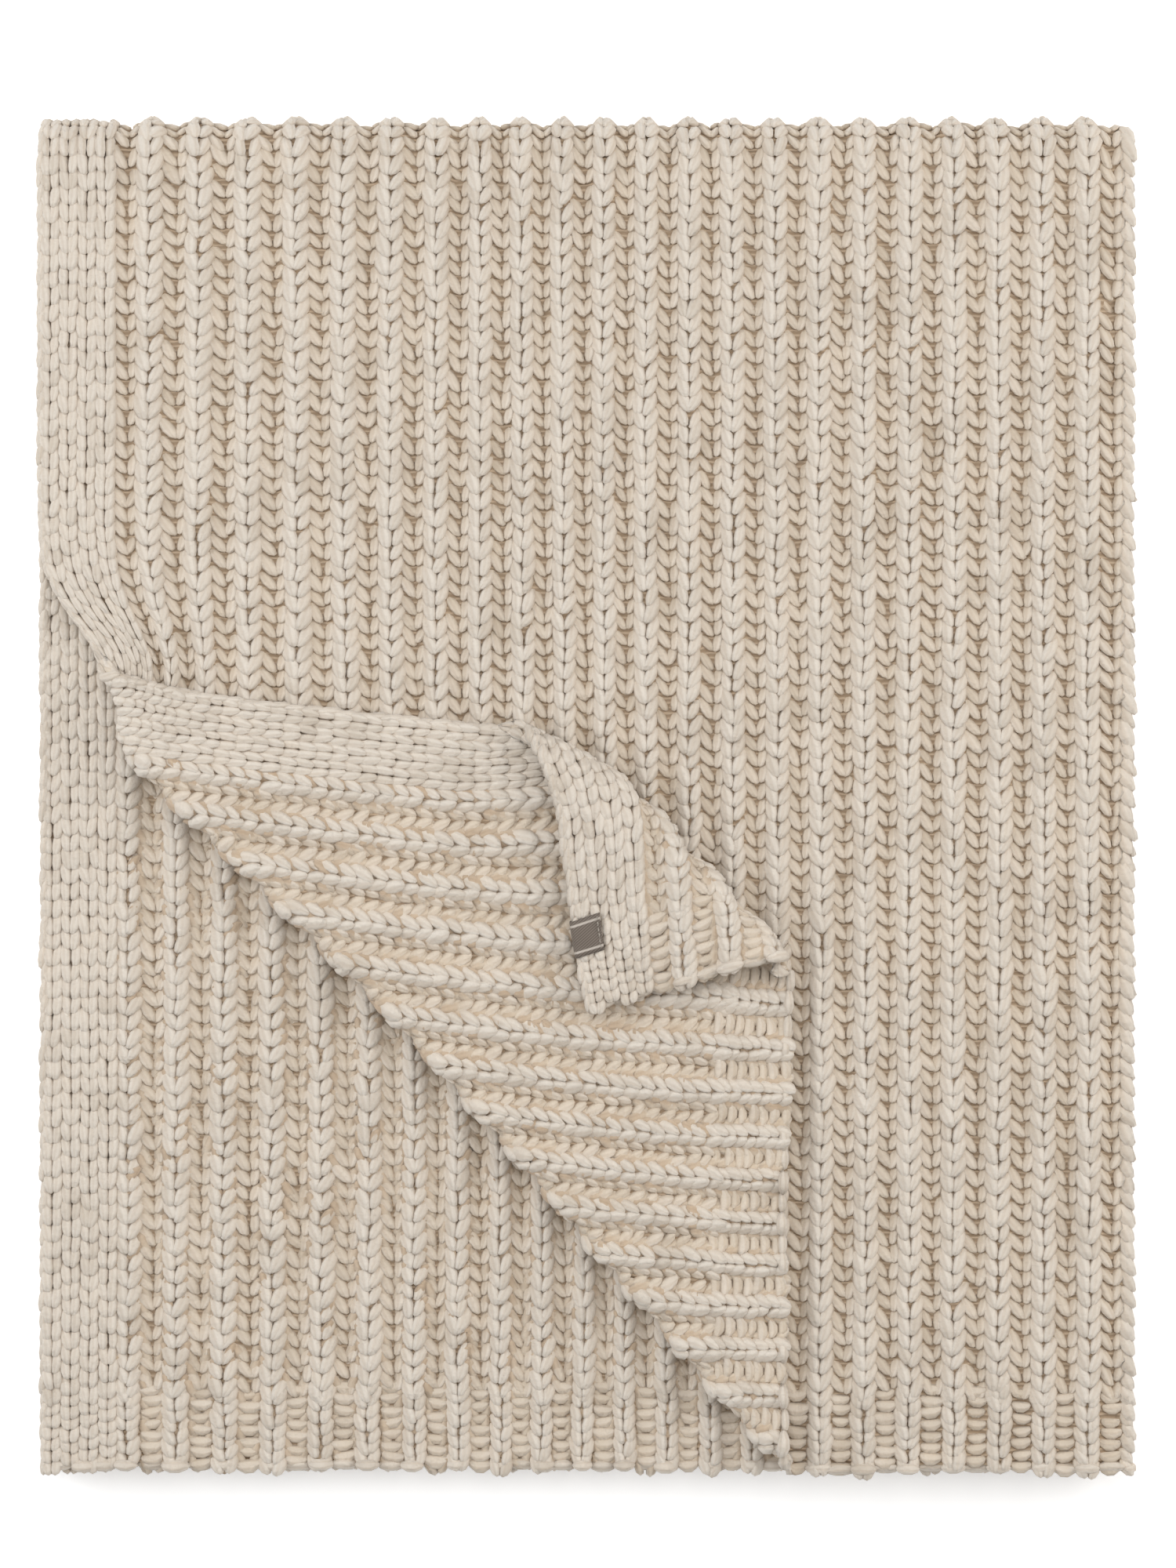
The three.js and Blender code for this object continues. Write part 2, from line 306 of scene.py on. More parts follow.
# ---- Materials ----
LINT_PER_METRE = 520.0  # tufts of lint about 2 mm across
LUMPS_PER_METRE = 170.0  # slubs in the roving about 6 mm across
CLOUDS_PER_METRE = 35.0  # slow changes of tone, about 30 mm across
PLY_BANDS = 1.6  # on a leg's own map: the grooves between the roving's plies, drawn coarse enough to show
BACK_BANDS = 105.0  # strands of yarn 3 mm apart
TWIST_BANDS = 300.0  # the thread's twist, drawn 1 mm long so that it shows
TWILL_BANDS = 9.0  # on the ribbon's own map: its twill, coarser than the real one so that it shows


def linear(hex_colour):
    """sRGB hex to linear."""
    parts = [int(hex_colour[i : i + 2], 16) / 255 for i in (0, 2, 4)]
    return [c / 12.92 if c <= 0.04045 else ((c + 0.055) / 1.055) ** 2.4 for c in parts] + [1.0]


def node(tree, kind, settings=None, **inputs):
    """Adds a node with its settings, and its inputs as values or as links from other nodes' sockets."""
    made = tree.nodes.new(kind)
    for key, value in (settings or {}).items():
        setattr(made, key, value)
    for key, value in inputs.items():
        socket = made.inputs[int(key[1:])] if key[0] == "i" and key[1:].isdigit() else made.inputs[key]
        if isinstance(value, bpy.types.NodeSocket):
            tree.links.new(value, socket)
        else:
            socket.default_value = value
    return made


def new_material(name):
    """An empty material and its node tree."""
    made = bpy.data.materials.new(name)
    made.use_nodes = True
    made.node_tree.nodes.clear()
    return made, made.node_tree


def finish_material(tree, colour, roughness, normal, sheen):
    """A textile's surface: no gloss to speak of, and a sheen where fibres stand up."""
    shader = node(tree, "ShaderNodeBsdfPrincipled", Roughness=roughness)
    tree.links.new(colour, shader.inputs["Base Color"])
    tree.links.new(normal, shader.inputs["Normal"])
    shader.inputs["Sheen Weight"].default_value = sheen
    shader.inputs["Sheen Roughness"].default_value = 0.5
    shader.inputs["Specular IOR Level"].default_value = 0.2
    output = node(tree, "ShaderNodeOutputMaterial")
    tree.links.new(shader.outputs["BSDF"], output.inputs["Surface"])


def ramp(tree, factor, *stops):
    """A colour for each of several values of the factor, blended between them."""
    made = node(tree, "ShaderNodeValToRGB")
    elements = made.color_ramp.elements
    while len(elements) < len(stops):
        elements.new(0.5)
    for element, (at, colour) in zip(elements, stops):
        element.position = at
        element.color = linear(colour)
    tree.links.new(factor, made.inputs["Fac"])
    return made.outputs["Color"]


def cotton_yarn():
    """Cotton roving of several soft plies: matt, with fine grooves between the plies and a little lint.
    Painted shade darkens the grooves and the yarn that lies deep between the loops.
    """
    made, tree = new_material("brushed_cotton_roving")
    uv = node(tree, "ShaderNodeUVMap", {"uv_map": "ply_map"}).outputs["UV"]
    place = node(tree, "ShaderNodeTexCoord").outputs["Object"]
    tone = node(tree, "ShaderNodeAttribute", {"attribute_name": "tone"}).outputs["Fac"]
    painted_depth_shade = node(tree, "ShaderNodeAttribute", {"attribute_name": "painted_depth_shade"}).outputs["Fac"]
    plies = node(tree, "ShaderNodeTexWave", {"bands_direction": "X", "wave_profile": "SIN"},
                 Vector=uv, Scale=PLY_BANDS, Distortion=1.5, Detail=1.0)
    plies.inputs["Detail Scale"].default_value = 2.0
    lint = node(tree, "ShaderNodeTexNoise", Vector=place, Scale=LINT_PER_METRE, Detail=5.0, Roughness=0.75)
    cloudy = node(tree, "ShaderNodeTexNoise", Vector=place, Scale=CLOUDS_PER_METRE, Detail=2.0)
    # Painted shade: the yarn is darker and warmer the deeper it lies, where shade falls between the loops.
    body = ramp(tree, painted_depth_shade, (0.0, "c9b49c"), (0.3, "dbcdba"), (0.6, "dfd3c4"), (1.0, "e0d7cb"))
    shade = node(tree, "ShaderNodeMath", {"operation": "MULTIPLY_ADD"}, i0=tone, i1=0.35)
    tree.links.new(cloudy.outputs["Fac"], shade.inputs[2])
    varied = ramp(tree, shade.outputs[0], (0.25, "d9d2c8"), (0.7, "ffffff"), (1.0, "fffcf8"))
    toned = node(tree, "ShaderNodeMix", {"data_type": "RGBA", "blend_type": "MULTIPLY"})
    toned.inputs["Factor"].default_value = 0.55
    tree.links.new(body, toned.inputs[6])
    tree.links.new(varied, toned.inputs[7])
    # Painted shade in the grooves between the plies, over the bump that shapes them.
    ply_groove_shade = ramp(tree, plies.outputs["Fac"], (0.0, "cdbba6"), (0.45, "ffffff"))
    ply_groove_shaded = node(tree, "ShaderNodeMix", {"data_type": "RGBA", "blend_type": "MULTIPLY"})
    ply_groove_shaded.inputs["Factor"].default_value = 0.22
    tree.links.new(toned.outputs[2], ply_groove_shaded.inputs[6])
    tree.links.new(ply_groove_shade, ply_groove_shaded.inputs[7])
    ply_bump = node(tree, "ShaderNodeBump", Strength=0.4, Distance=0.0005)
    tree.links.new(plies.outputs["Fac"], ply_bump.inputs["Height"])
    lint_bump = node(tree, "ShaderNodeBump", Strength=0.9, Distance=0.0011)
    tree.links.new(lint.outputs["Fac"], lint_bump.inputs["Height"])
    lumps = node(tree, "ShaderNodeTexNoise", Vector=place, Scale=LUMPS_PER_METRE, Detail=1.0)
    lump_bump = node(tree, "ShaderNodeBump", Strength=0.7, Distance=0.0022)
    tree.links.new(lumps.outputs["Fac"], lump_bump.inputs["Height"])
    tree.links.new(ply_bump.outputs["Normal"], lump_bump.inputs["Normal"])
    tree.links.new(lump_bump.outputs["Normal"], lint_bump.inputs["Normal"])
    finish_material(tree, ply_groove_shaded.outputs[2], 0.95, lint_bump.outputs["Normal"], 0.25)
    return made


def loop_backs(name, shaded, lit):
    """The inner bends of the same cotton yarn: matt, and seen only between stitches. Its strands are painted
    in a shaded and a lit colour, and each copy is painted darker or paler by how much shade falls on it.
    """
    made, tree = new_material(name)
    place = node(tree, "ShaderNodeTexCoord").outputs["Object"]
    strands = node(tree, "ShaderNodeTexWave", {"bands_direction": "Y"},
                   Vector=place, Scale=BACK_BANDS, Distortion=3.0)
    colour = ramp(tree, strands.outputs["Fac"], (0.0, shaded), (1.0, lit))
    bump = node(tree, "ShaderNodeBump", Strength=0.8, Distance=0.001)
    tree.links.new(strands.outputs["Fac"], bump.inputs["Height"])
    finish_material(tree, colour, 1.0, bump.outputs["Normal"], 0.0)
    return made


YARN = cotton_yarn()
BACKS_PAINTED_SHADED = loop_backs("cotton_loop_backs_painted_shaded", "9c8770", "bfaa92")  # deep between stitches: darker and warmer, painted shade of the gaps
FOLD_BACKING_PAINTED_LIT = loop_backs("cotton_fold_backing_painted_lit", "cdbaa3", "dccdb9")  # paler, painted with less shade: laid bare when a fold opens

# ---- Stitches ----
LEG_FULLNESS = 2.4  # the higher, the nearer its ends a leg keeps its thickness
LEG_SPLAY = 0.85  # below 1 a leg leans outwards most near its foot
BAR_BOW = 2.2  # how much further along the cloth a bar's ends lie than its middle
LEG_TURN = 5.0  # degrees: how far the legs differ in direction
LEG_GROWTH = 0.07  # and in size
LEG_SHIFT = [0.45, 0.5, 0.4]  # and in place
SELVEDGE_CALM = 0.7  # the selvedge is knitted more evenly
SHADE_DARKEST_BELOW = 2.4  # how far below the cloth's middle the yarn's painted shade is at its darkest
SHADE_FADE_SPAN = 8.0  # from there to where the painted shade is at its palest
EDGE_PAINTED_SHADE = 0.8  # painted shade of the chains along the edges, one fixed step on the same ramp


def new_strand(bm, detail):
    """A ball to shape into one strand of yarn. Its vertices are marked with the strand's number."""
    strand = bm.verts.layers.int["strand"]
    number = 1 + max((vert[strand] for vert in bm.verts), default=0)
    made = bmesh.ops.create_uvsphere(bm, u_segments=detail[0], v_segments=detail[1], radius=1, calc_uvs=True)
    for vert in made["verts"]:
        vert[strand] = number
    return made["verts"]


def yarn_leg(bm, side, low, high, length, width, thick, rise, detail, centre=(0, 0, 0)):
    """One leg of a loop: a soft tapered strand that leans outwards from the loop's foot to its head."""
    for vert in new_strand(bm, detail):
        x, y, t = vert.co
        round_now = max(math.hypot(x, y), 1e-6)
        fuller = (1 - abs(t) ** LEG_FULLNESS) ** 0.5 / round_now if abs(t) < 0.999 else 0
        across = side * (low + (high - low) * ((t + 1) / 2) ** LEG_SPLAY) + width / 2 * x * fuller
        vert.co = (
            centre[0] + across,
            centre[1] + t * length / 2,
            centre[2] + thick / 2 * y * fuller - rise * t,
        )


# The two legs of each loop. Low and high are how far a leg's foot and head stand from the loop's middle,
# and rise is how far its foot stands above its middle. The pair aren't alike, so the loops lean a little.
RIDGE = (
    {"low": 1.8, "high": 5.4, "length": 15.4, "width": 8.6, "thick": 6.6, "rise": 1.6},
    {"low": 0.9, "high": 6.6, "length": 15.0, "width": 8.2, "thick": 6.8, "rise": 1.8},
)
VALLEY = (
    {"low": -0.6, "high": 6.2, "length": 13.6, "width": 8.2, "thick": 5.8, "rise": 1.8},
    {"low": 2.9, "high": 5.9, "length": 13.2, "width": 6.6, "thick": 5.2, "rise": 2.2},
)
SELVEDGE_LOOP = ({"low": 1.9, "high": 3.8, "length": 15.4, "width": 7.0, "thick": 6.2, "rise": 1.3},) * 2
HEM_LOOP = ({"low": 2.1, "high": 5.4, "length": 12.0, "width": 7.8, "thick": 6.6, "rise": 1.1},) * 2
EDGE_LOOP = ({"low": 2.0, "high": 3.1, "length": 14.5, "width": 6.0, "thick": 5.6, "rise": 0.9},) * 2
STAND_OFF = 0.9  # of a ridge's legs from the cloth's own middle
VALLEY_OFF = 0.2  # of a valley's
VALLEY_LAG = 0.4  # of a row, between a ridge's loop and the valley's beside it
SELVEDGE_OFF = 2.2  # of the selvedge's legs
EDGE_OFF = -1.0  # of the side chains, past the cloth's edge
END_BUMP = {"length": 15.5, "width": 8.4, "thick": 7.5}


def stitch(bm, loop, detail, centre, scale=1.0):
    """Both legs of one loop, with their length scaled to the height of the row."""
    for side, leg in zip((-1, 1), loop):
        sized = dict(leg, length=leg["length"] * scale)
        yarn_leg(bm, side, **sized, detail=detail, centre=centre)


def purl_bar(bm, centre, detail, length=13.5, width=8.0, thick=5.4):
    """A loop's head lying across a valley, bowed."""
    for vert in new_strand(bm, detail):
        x, y, t = vert.co
        bow = BAR_BOW * t * t - 1.0
        vert.co = (
            centre[0] + t * length / 2,
            centre[1] + width / 2 * x + bow,
            centre[2] - thick / 2 * y,
        )


def repeated(name, make_cell, columns, column_step, rows, row_step):
    """One cell of stitches repeated over rows and columns, as points [column, row, vertex] and its mesh."""
    mesh = bpy.data.meshes.new(name)
    bm = bmesh.new()
    bm.loops.layers.uv.new("ply_map")
    strand = bm.verts.layers.int.new("strand")
    make_cell(bm)
    bmesh.ops.recalc_face_normals(bm, faces=bm.faces)
    bm.verts.sort(key=lambda vert: vert[strand])
    bm.to_mesh(mesh)
    bm.free()
    cell = bpy.data.objects.new(name, mesh)
    bpy.context.scene.collection.objects.link(cell)
    for count, step in ((rows, (0, row_step, 0)), (columns, (column_step, 0, 0))):
        array = cell.modifiers.new("repeat", "ARRAY")
        array.count = count
        array.use_relative_offset = False
        array.use_constant_offset = True
        array.constant_offset_displace = step
    evaluated = cell.evaluated_get(bpy.context.evaluated_depsgraph_get())
    full = bpy.data.meshes.new_from_object(evaluated)
    per_cell = len(mesh.vertices)
    bpy.data.objects.remove(cell)
    bpy.data.meshes.remove(mesh)
    full.name = name
    points = np.zeros(len(full.vertices) * 3, np.float32)
    full.vertices.foreach_get("co", points)
    return full, points.reshape(columns, rows, per_cell, 3).astype(float)


def uneven(points, per_leg, across, along, calm):
    """Hand-made unevenness: each column drifts a little, and each leg turns, grows and moves a little."""
    columns, rows, count, _ = points.shape
    legs = points.reshape(columns, rows, count // per_leg, per_leg, 3)
    shape = legs.shape[:3]
    centre = legs.mean(axis=3, keepdims=True)
    local = legs - centre
    turn = np.radians(rng.normal(0, LEG_TURN * calm, shape))[..., None]
    size = (1 + rng.normal(0, LEG_GROWTH * calm, shape))[..., None, None]
    x, y = local[..., 0].copy(), local[..., 1].copy()
    local[..., 0] = x * np.cos(turn) - y * np.sin(turn)
    local[..., 1] = x * np.sin(turn) + y * np.cos(turn)
    moved = centre + local * size + (rng.normal(0, calm, shape + (1, 3)) * LEG_SHIFT)
    column = (across + points[:, :1, :1, None, :1])[..., 0]
    place = along + centre[..., 1]
    moved[..., 1] += 1.5 * np.sin(0.9 * column) + 1.3 * np.sin(place / 85 + 0.9 * column)
    moved[..., 0] += calm * 0.7 * np.sin(place / 120 + 1.7 * column)
    return moved


def store(mesh, name, values):
    """Keeps one value for each vertex, for the material to read."""
    made = mesh.attributes.new(name, "FLOAT", "POINT")
    made.data.foreach_set("value", np.asarray(values, np.float32).ravel())


def cut_to(mesh, keep):
    """The same mesh with only the vertices that are kept."""
    bm = bmesh.new()
    bm.from_mesh(mesh)
    bm.verts.ensure_lookup_table()
    gone = [bm.verts[i] for i in np.flatnonzero(~keep)]
    bmesh.ops.delete(bm, geom=gone, context="VERTS")
    kept = mesh.copy()
    bm.to_mesh(kept)
    bm.free()
    return kept


pieces = {}  # every piece by its name, with what it rides on


def add_piece(name, mesh, body, material=None):
    """Makes a mesh a piece that rides on a body; a piece between two bodies keeps its place, with the two
    bodies and heights noted beside it.
    """
    mesh.polygons.foreach_set("use_smooth", np.ones(len(mesh.polygons), bool))
    mesh.materials.clear()
    mesh.materials.append(material or YARN)
    mesh.name = name
    made = bpy.data.objects.new(name, mesh)
    bpy.context.scene.collection.objects.link(made)
    if isinstance(body, str):
        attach(made, body)
    else:
        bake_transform(made)
    pieces[name] = (made, body)
    return made


def corner_zone(across, along):
    """Which part of the turned corner a place on the cloth belongs to; an empty name on the stack.

    Each bend is parted at its outermost line, so its two halves stay whole when it opens.
    """
    _, corner_turn, tip_turn = lay(spread_ribs(across), along)
    zone = np.full(across.shape, "", dtype="U16")
    zone[corner_turn > math.pi / 2] = "corner"
    zone[tip_turn > math.pi / 2] = "tip"
    return zone


BEND_STRIP = 1.1  # radians to each side of a bend's outermost line
BLEND_REACH = 4  # above and below a joint's height


def blend_at(lower, upper, height, reach=BLEND_REACH):
    """What add_piece takes for a piece that goes from one body to another at a height."""
    return lower, upper, height - reach, height + reach


BEND_BLENDS = {
    "corner_bend": blend_at("upper", "corner", PLY_HEIGHT + FOLD_RADIUS),
    "tip_bend": blend_at("corner", "tip", PLY_HEIGHT + 3 * FOLD_RADIUS),
}


def backing_zone(across, along):
    """The same, with a strip of cloth along each bend's outermost line that belongs to both sides."""
    _, corner_turn, tip_turn = lay(spread_ribs(across), along)
    zone = corner_zone(across, along)
    zone[np.abs(corner_turn - math.pi / 2) < BEND_STRIP] = "corner_bend"
    zone[np.abs(tip_turn - math.pi / 2) < BEND_STRIP] = "tip_bend"
    return zone


def legs_in_place(legs, across, along, columns, column_step, face):
    """Moves a field of legs to its place on the flat cloth, on the face or the edge that it belongs to."""
    sideways, lengthways, off = legs[..., 0], legs[..., 1], legs[..., 2]
    if face == "side":
        return np.stack([across - off, along + lengthways, sideways], axis=-1)
    if face == "far_side":
        return np.stack([across + off, along + lengthways, -sideways], axis=-1)
    if face == "end":
        return np.stack([across + sideways, along - off, lengthways], axis=-1)
    if face == "far_end":
        return np.stack([across + sideways, along + off, -lengthways], axis=-1)
    if face == "reverse":
        column = (np.arange(columns) * column_step)[:, None, None, None]
        mirrored = across + column - (sideways - column)
        return np.stack([mirrored, along + lengthways, -off], axis=-1)
    return legs + [across, along, 0]


def knit(name, make_cell, detail, across, columns, column_step, along, rows, row_step, body,
         face="front", keep=None, split=1):
    """Knits a field of stitches on the flat cloth, drapes it, and parts it at the joints.

    Body is what carries the stitches that lie on the stack. Face is the front or the reverse of the cloth, or
    one of its edges: side, far_side, end or far_end. Split parts a wide field into several pieces.
    """
    mesh, points = repeated(name, make_cell, columns, column_step, rows, row_step)
    per_leg = detail[0] * (detail[1] - 1) + 2
    calm = SELVEDGE_CALM if columns == SELVEDGE_COLUMNS else 1.0
    legs = uneven(points, per_leg, across, along, calm)
    heights = legs[..., 2]
    legs = legs_in_place(legs, across, along, columns, column_step, face)
    centres = legs.mean(axis=3)
    zone = corner_zone(centres[..., 0].ravel(), centres[..., 1].ravel()).reshape(centres.shape[:3])
    wanted = np.ones(zone.shape, bool)
    if keep is not None:
        wanted = keep(centres[..., 0], centres[..., 1], zone)
    # Painted shade: each vertex is painted darker the lower it stands; the edges' chains get one fixed shade.
    if face in ("front", "reverse"):
        standing = heights + (-1 if face == "reverse" else 1) * swell(legs[..., 0], legs[..., 1])
        store(mesh, "painted_depth_shade", np.clip((standing + SHADE_DARKEST_BELOW) / SHADE_FADE_SPAN, 0, 1))
    else:
        store(mesh, "painted_depth_shade", np.full(heights.shape, EDGE_PAINTED_SHADE))
    tone = rng.uniform(0, 1, legs.shape[:3])
    store(mesh, "tone", np.repeat(tone[..., None], per_leg, axis=3))
    placed = drape(legs.reshape(-1, 3)) * MM
    mesh.vertices.foreach_set("co", placed.astype(np.float32).ravel())
    mesh.update()
    part_of = np.zeros(zone.shape, int) + (np.arange(columns) * split // columns)[:, None, None]
    for zone_name in np.unique(zone[wanted]).tolist():
        for part in range(1 if zone_name else split):
            chosen = wanted & (zone == zone_name)
            full_name = f"{name}_{zone_name}"
            if not zone_name:
                chosen = chosen & (part_of == part)
                full_name = f"{name}_{part + 1}" if split > 1 else name
            if chosen.any():
                kept = cut_to(mesh, np.repeat(chosen.ravel(), per_leg))
                add_piece(full_name, kept, zone_name or body)
    bpy.data.meshes.remove(mesh)


# How finely a strand is shaped: segments round it, and rings along it
FINE = (8, 5)
COARSE = (5, 4)
FOLD_DETAIL = (6, 5)


def rib_cell(detail, scale=1.0):
    """One rib's width of knit: the ridge's loop, and the valley's loop beside it."""

    def make(bm):
        stitch(bm, RIDGE, detail, (0, 0, STAND_OFF), scale)
        stitch(bm, VALLEY, detail, (-RIB / 2, ROW * VALLEY_LAG * scale, VALLEY_OFF), scale)

    return make


def selvedge_cell(detail, scale=1.0):
    """One loop of the selvedge's plain knit."""

    def make(bm):
        stitch(bm, SELVEDGE_LOOP, detail, (0, 0, SELVEDGE_OFF), scale)

    return make


def hem_cell(detail):
    """The hem's tight rib: a short knit loop, and a bar across the valley."""

    def make(bm):
        stitch(bm, HEM_LOOP, detail, (0, 0, STAND_OFF))
        purl_bar(bm, (-RIB / 2, 0.3, 1.0), detail)

    return make


def edge_cell(detail, scale=1.0):
    """The chain of loops along a ply's side edge."""

    def make(bm):
        stitch(bm, EDGE_LOOP, detail, (0, 0, EDGE_OFF), scale)

    return make


def end_cell(detail):
    """Cast-on bumps at a ply's end: one over the ridge and one behind the valley."""

    def make(bm):
        purl_bar(bm, (0, 1.6, -1.2), detail, **END_BUMP)
        purl_bar(bm, (-RIB / 2, -1.6, -1.2), detail, **END_BUMP)

    return make


# ---- Which stitches go where ----
OUTER_RIBS = math.ceil((SIDE_START - FIRST_RIDGE) / RIB)
INNER_FROM = math.ceil((SIDE_START + SIDE_ROLL - FIRST_RIDGE) / RIB)
FAR_SELVEDGE = CLOTH_WIDTH - SELVEDGE
LOWER_START = TOP_START + TOP_FOLD_NOMINAL
CLOTH_LENGTH = 2 * TOP_START + TOP_FOLD_NOMINAL
COLUMN = SELVEDGE / SELVEDGE_COLUMNS
HEM_ROW = HEM / HEM_ROWS
OUTER_FOLD_BLEND = blend_at("lower", "upper", TOP_BEND_Z, PLY_PITCH)
INNER_FOLD_BLEND = blend_at("lower", "upper", TOP_BEND_Z)
OUTER_FOLD_ROWS = 6
SIDE_FOLD_ROWS = 4
INNER_FOLD_ROWS = 2
UNDER_MARGIN = 70.0  # how far in under the top ply the second ply's stitches start
EDGE_MARGIN = 2.0  # kept clear of cast-on bumps at both side edges


def everywhere(across, along, zone):
    """Keeps every stitch."""
    return np.ones(zone.shape, bool)


def near_corner(across, along, zone):
    """Keeps the stitches past the corner's fold."""
    return zone != ""


def second_ply_shows(across, along, zone):
    """Keeps the part of the second ply that the turned corner uncovers, with a margin."""
    mirrored = LEFT + (CLOTH_WIDTH - across)
    past, _ = past_corner_bend(mirrored, FRONT + along)
    return past > -UNDER_MARGIN


def between_selvedges(keep):
    """Keeps what keep does, but not on the selvedges."""

    def kept(across, along, zone):
        return keep(across, along, zone) & (across > SELVEDGE - 1) & (across < FAR_SELVEDGE + 1)

    return kept


def on_face(prefix, rib_from, rib_to, selvedge_at, upper, detail, face="front", keep=everywhere, split=1):
    """One face of one ply: ribs from a numbered one to another, its selvedge band and its hem."""
    first = FIRST_RIDGE + (rib_from + (0.5 if face == "reverse" else 0)) * RIB
    ribs = rib_to - rib_from
    body = "upper" if upper else "lower"
    body_from = (HEM if upper else LOWER_START) + BODY_ROW / 2
    hem_from = (0.0 if upper else CLOTH_LENGTH - HEM - HEM_ROW) + HEM_ROW / 2
    hem_rows = HEM_ROWS + 1  # the last one lies under the body's first row
    rib_keep = between_selvedges(keep)
    knit(f"{prefix}_ribs", rib_cell(detail), detail, first, ribs, RIB, body_from, BODY_ROWS, BODY_ROW,
         body, face, keep=rib_keep, split=split)
    knit(f"{prefix}_hem", hem_cell(detail), detail, first, ribs, RIB, hem_from, hem_rows, HEM_ROW,
         body, face, keep=rib_keep)
    if selvedge_at is None:
        return
    at = selvedge_at + COLUMN / 2
    knit(f"{prefix}_selvedge", selvedge_cell(detail), detail, at, SELVEDGE_COLUMNS, COLUMN, body_from,
         BODY_ROWS, BODY_ROW, body, face, keep=keep)
    knit(f"{prefix}_selvedge_hem", selvedge_cell(detail, HEM_ROW / ROW), detail, at, SELVEDGE_COLUMNS,
         COLUMN, hem_from, hem_rows, HEM_ROW, body, face, keep=keep)


def on_top_fold(prefix, rib_from, rib_to, selvedge_at, rows, blend):
    """The stitches that go over the top fold, whose nominal length is shared by a number of rows."""
    step = TOP_FOLD_NOMINAL / rows
    first = FIRST_RIDGE + rib_from * RIB
    along = TOP_START + step / 2
    knit(f"{prefix}_ribs", rib_cell(FOLD_DETAIL, step / ROW), FOLD_DETAIL, first, rib_to - rib_from, RIB,
         along, rows, step, blend, keep=between_selvedges(everywhere))
    if selvedge_at is not None:
        at = selvedge_at + COLUMN / 2
        knit(f"{prefix}_selvedge", selvedge_cell(FOLD_DETAIL, step / ROW), FOLD_DETAIL, at,
             SELVEDGE_COLUMNS, COLUMN, along, rows, step, blend)


def clear_of_edges(across, along, zone):
    """Keeps the bumps that lie on the cloth."""
    return (across > EDGE_MARGIN) & (across < CLOTH_WIDTH - EDGE_MARGIN)


def along_edges():
    """The chains down the side edges of the four plies, over both top folds, and the bumps of the hems."""
    rows = BODY_ROWS + round(HEM / ROW)
    row = TOP_START / rows
    for ply, side, edge in (("outer", "side", 0.0), ("inner", "far_side", CLOTH_WIDTH)):
        for half, start in (("upper", row / 2), ("lower", LOWER_START + row / 2)):
            knit(f"{half}_{ply}_edge", edge_cell(FOLD_DETAIL), FOLD_DETAIL, edge, 1, 1.0, start, rows, row,
                 half, side)
    for ply, side, edge, fold_rows, blend in (
        ("outer", "side", 0.0, OUTER_FOLD_ROWS, OUTER_FOLD_BLEND),
        ("inner", "far_side", CLOTH_WIDTH, INNER_FOLD_ROWS, INNER_FOLD_BLEND),
    ):
        step = TOP_FOLD_NOMINAL / fold_rows
        knit(f"top_fold_{ply}_edge", edge_cell(FOLD_DETAIL, step / ROW), FOLD_DETAIL, edge, 1, 1.0,
             TOP_START + step / 2, fold_rows, step, blend, side)
    for half, side, end in (("upper", "end", 0.0), ("lower", "far_end", CLOTH_LENGTH)):
        knit(f"{half}_cast_on", end_cell(FOLD_DETAIL), FOLD_DETAIL, FIRST_RIDGE - 2 * RIB, RIBS + 4, RIB, end,
             1, 1.0, half, side, keep=clear_of_edges)


on_face("top_face", 0, OUTER_RIBS, 0.0, True, FINE, split=3)
on_face("turned_face", -1, OUTER_RIBS, 0.0, True, FINE, "reverse", near_corner)
on_face("second_ply", INNER_FROM, RIBS, FAR_SELVEDGE, True, FINE, "reverse", second_ply_shows)
on_face("upper_side", OUTER_RIBS, INNER_FROM, None, True, FOLD_DETAIL)
on_face("lower_side", OUTER_RIBS, INNER_FROM, None, False, FOLD_DETAIL)
on_face("inside_above", INNER_FROM, RIBS + 1, FAR_SELVEDGE, True, COARSE, split=2)
on_face("inside_below", INNER_FROM, RIBS + 1, FAR_SELVEDGE, False, COARSE, split=2)
on_face("underside", 0, OUTER_RIBS, 0.0, False, COARSE, split=2)
on_top_fold("top_fold", 0, OUTER_RIBS, 0.0, OUTER_FOLD_ROWS, OUTER_FOLD_BLEND)
on_top_fold("top_fold_side", OUTER_RIBS, INNER_FROM, None, SIDE_FOLD_ROWS, INNER_FOLD_BLEND)
on_top_fold("inner_fold", INNER_FROM, RIBS + 1, FAR_SELVEDGE, INNER_FOLD_ROWS, INNER_FOLD_BLEND)
along_edges()

# ---- The cloth behind the stitches ----
BACKING_THICK = 1.0
BACKING_COLUMN = RIB / 6
BACKING_INSET = 3.0  # from the cloth's edges, so that the chains of loops hide its cut sides
FINE_STEP = 4.5  # along the cloth, where it turns the corner
FLAT_STEP = 13.0  # where it lies flat
FOLD_STEP = 4.0  # round the top fold


def thicken(piece, thickness):
    """Gives a sheet its thickness, half to each side."""
    solid = piece.modifiers.new("thickness", "SOLIDIFY")
    solid.thickness = thickness * MM
    solid.offset = 0


claimed = set()  # names of the pieces already counted with a sheet that rides on the same body, and of those that stand alone
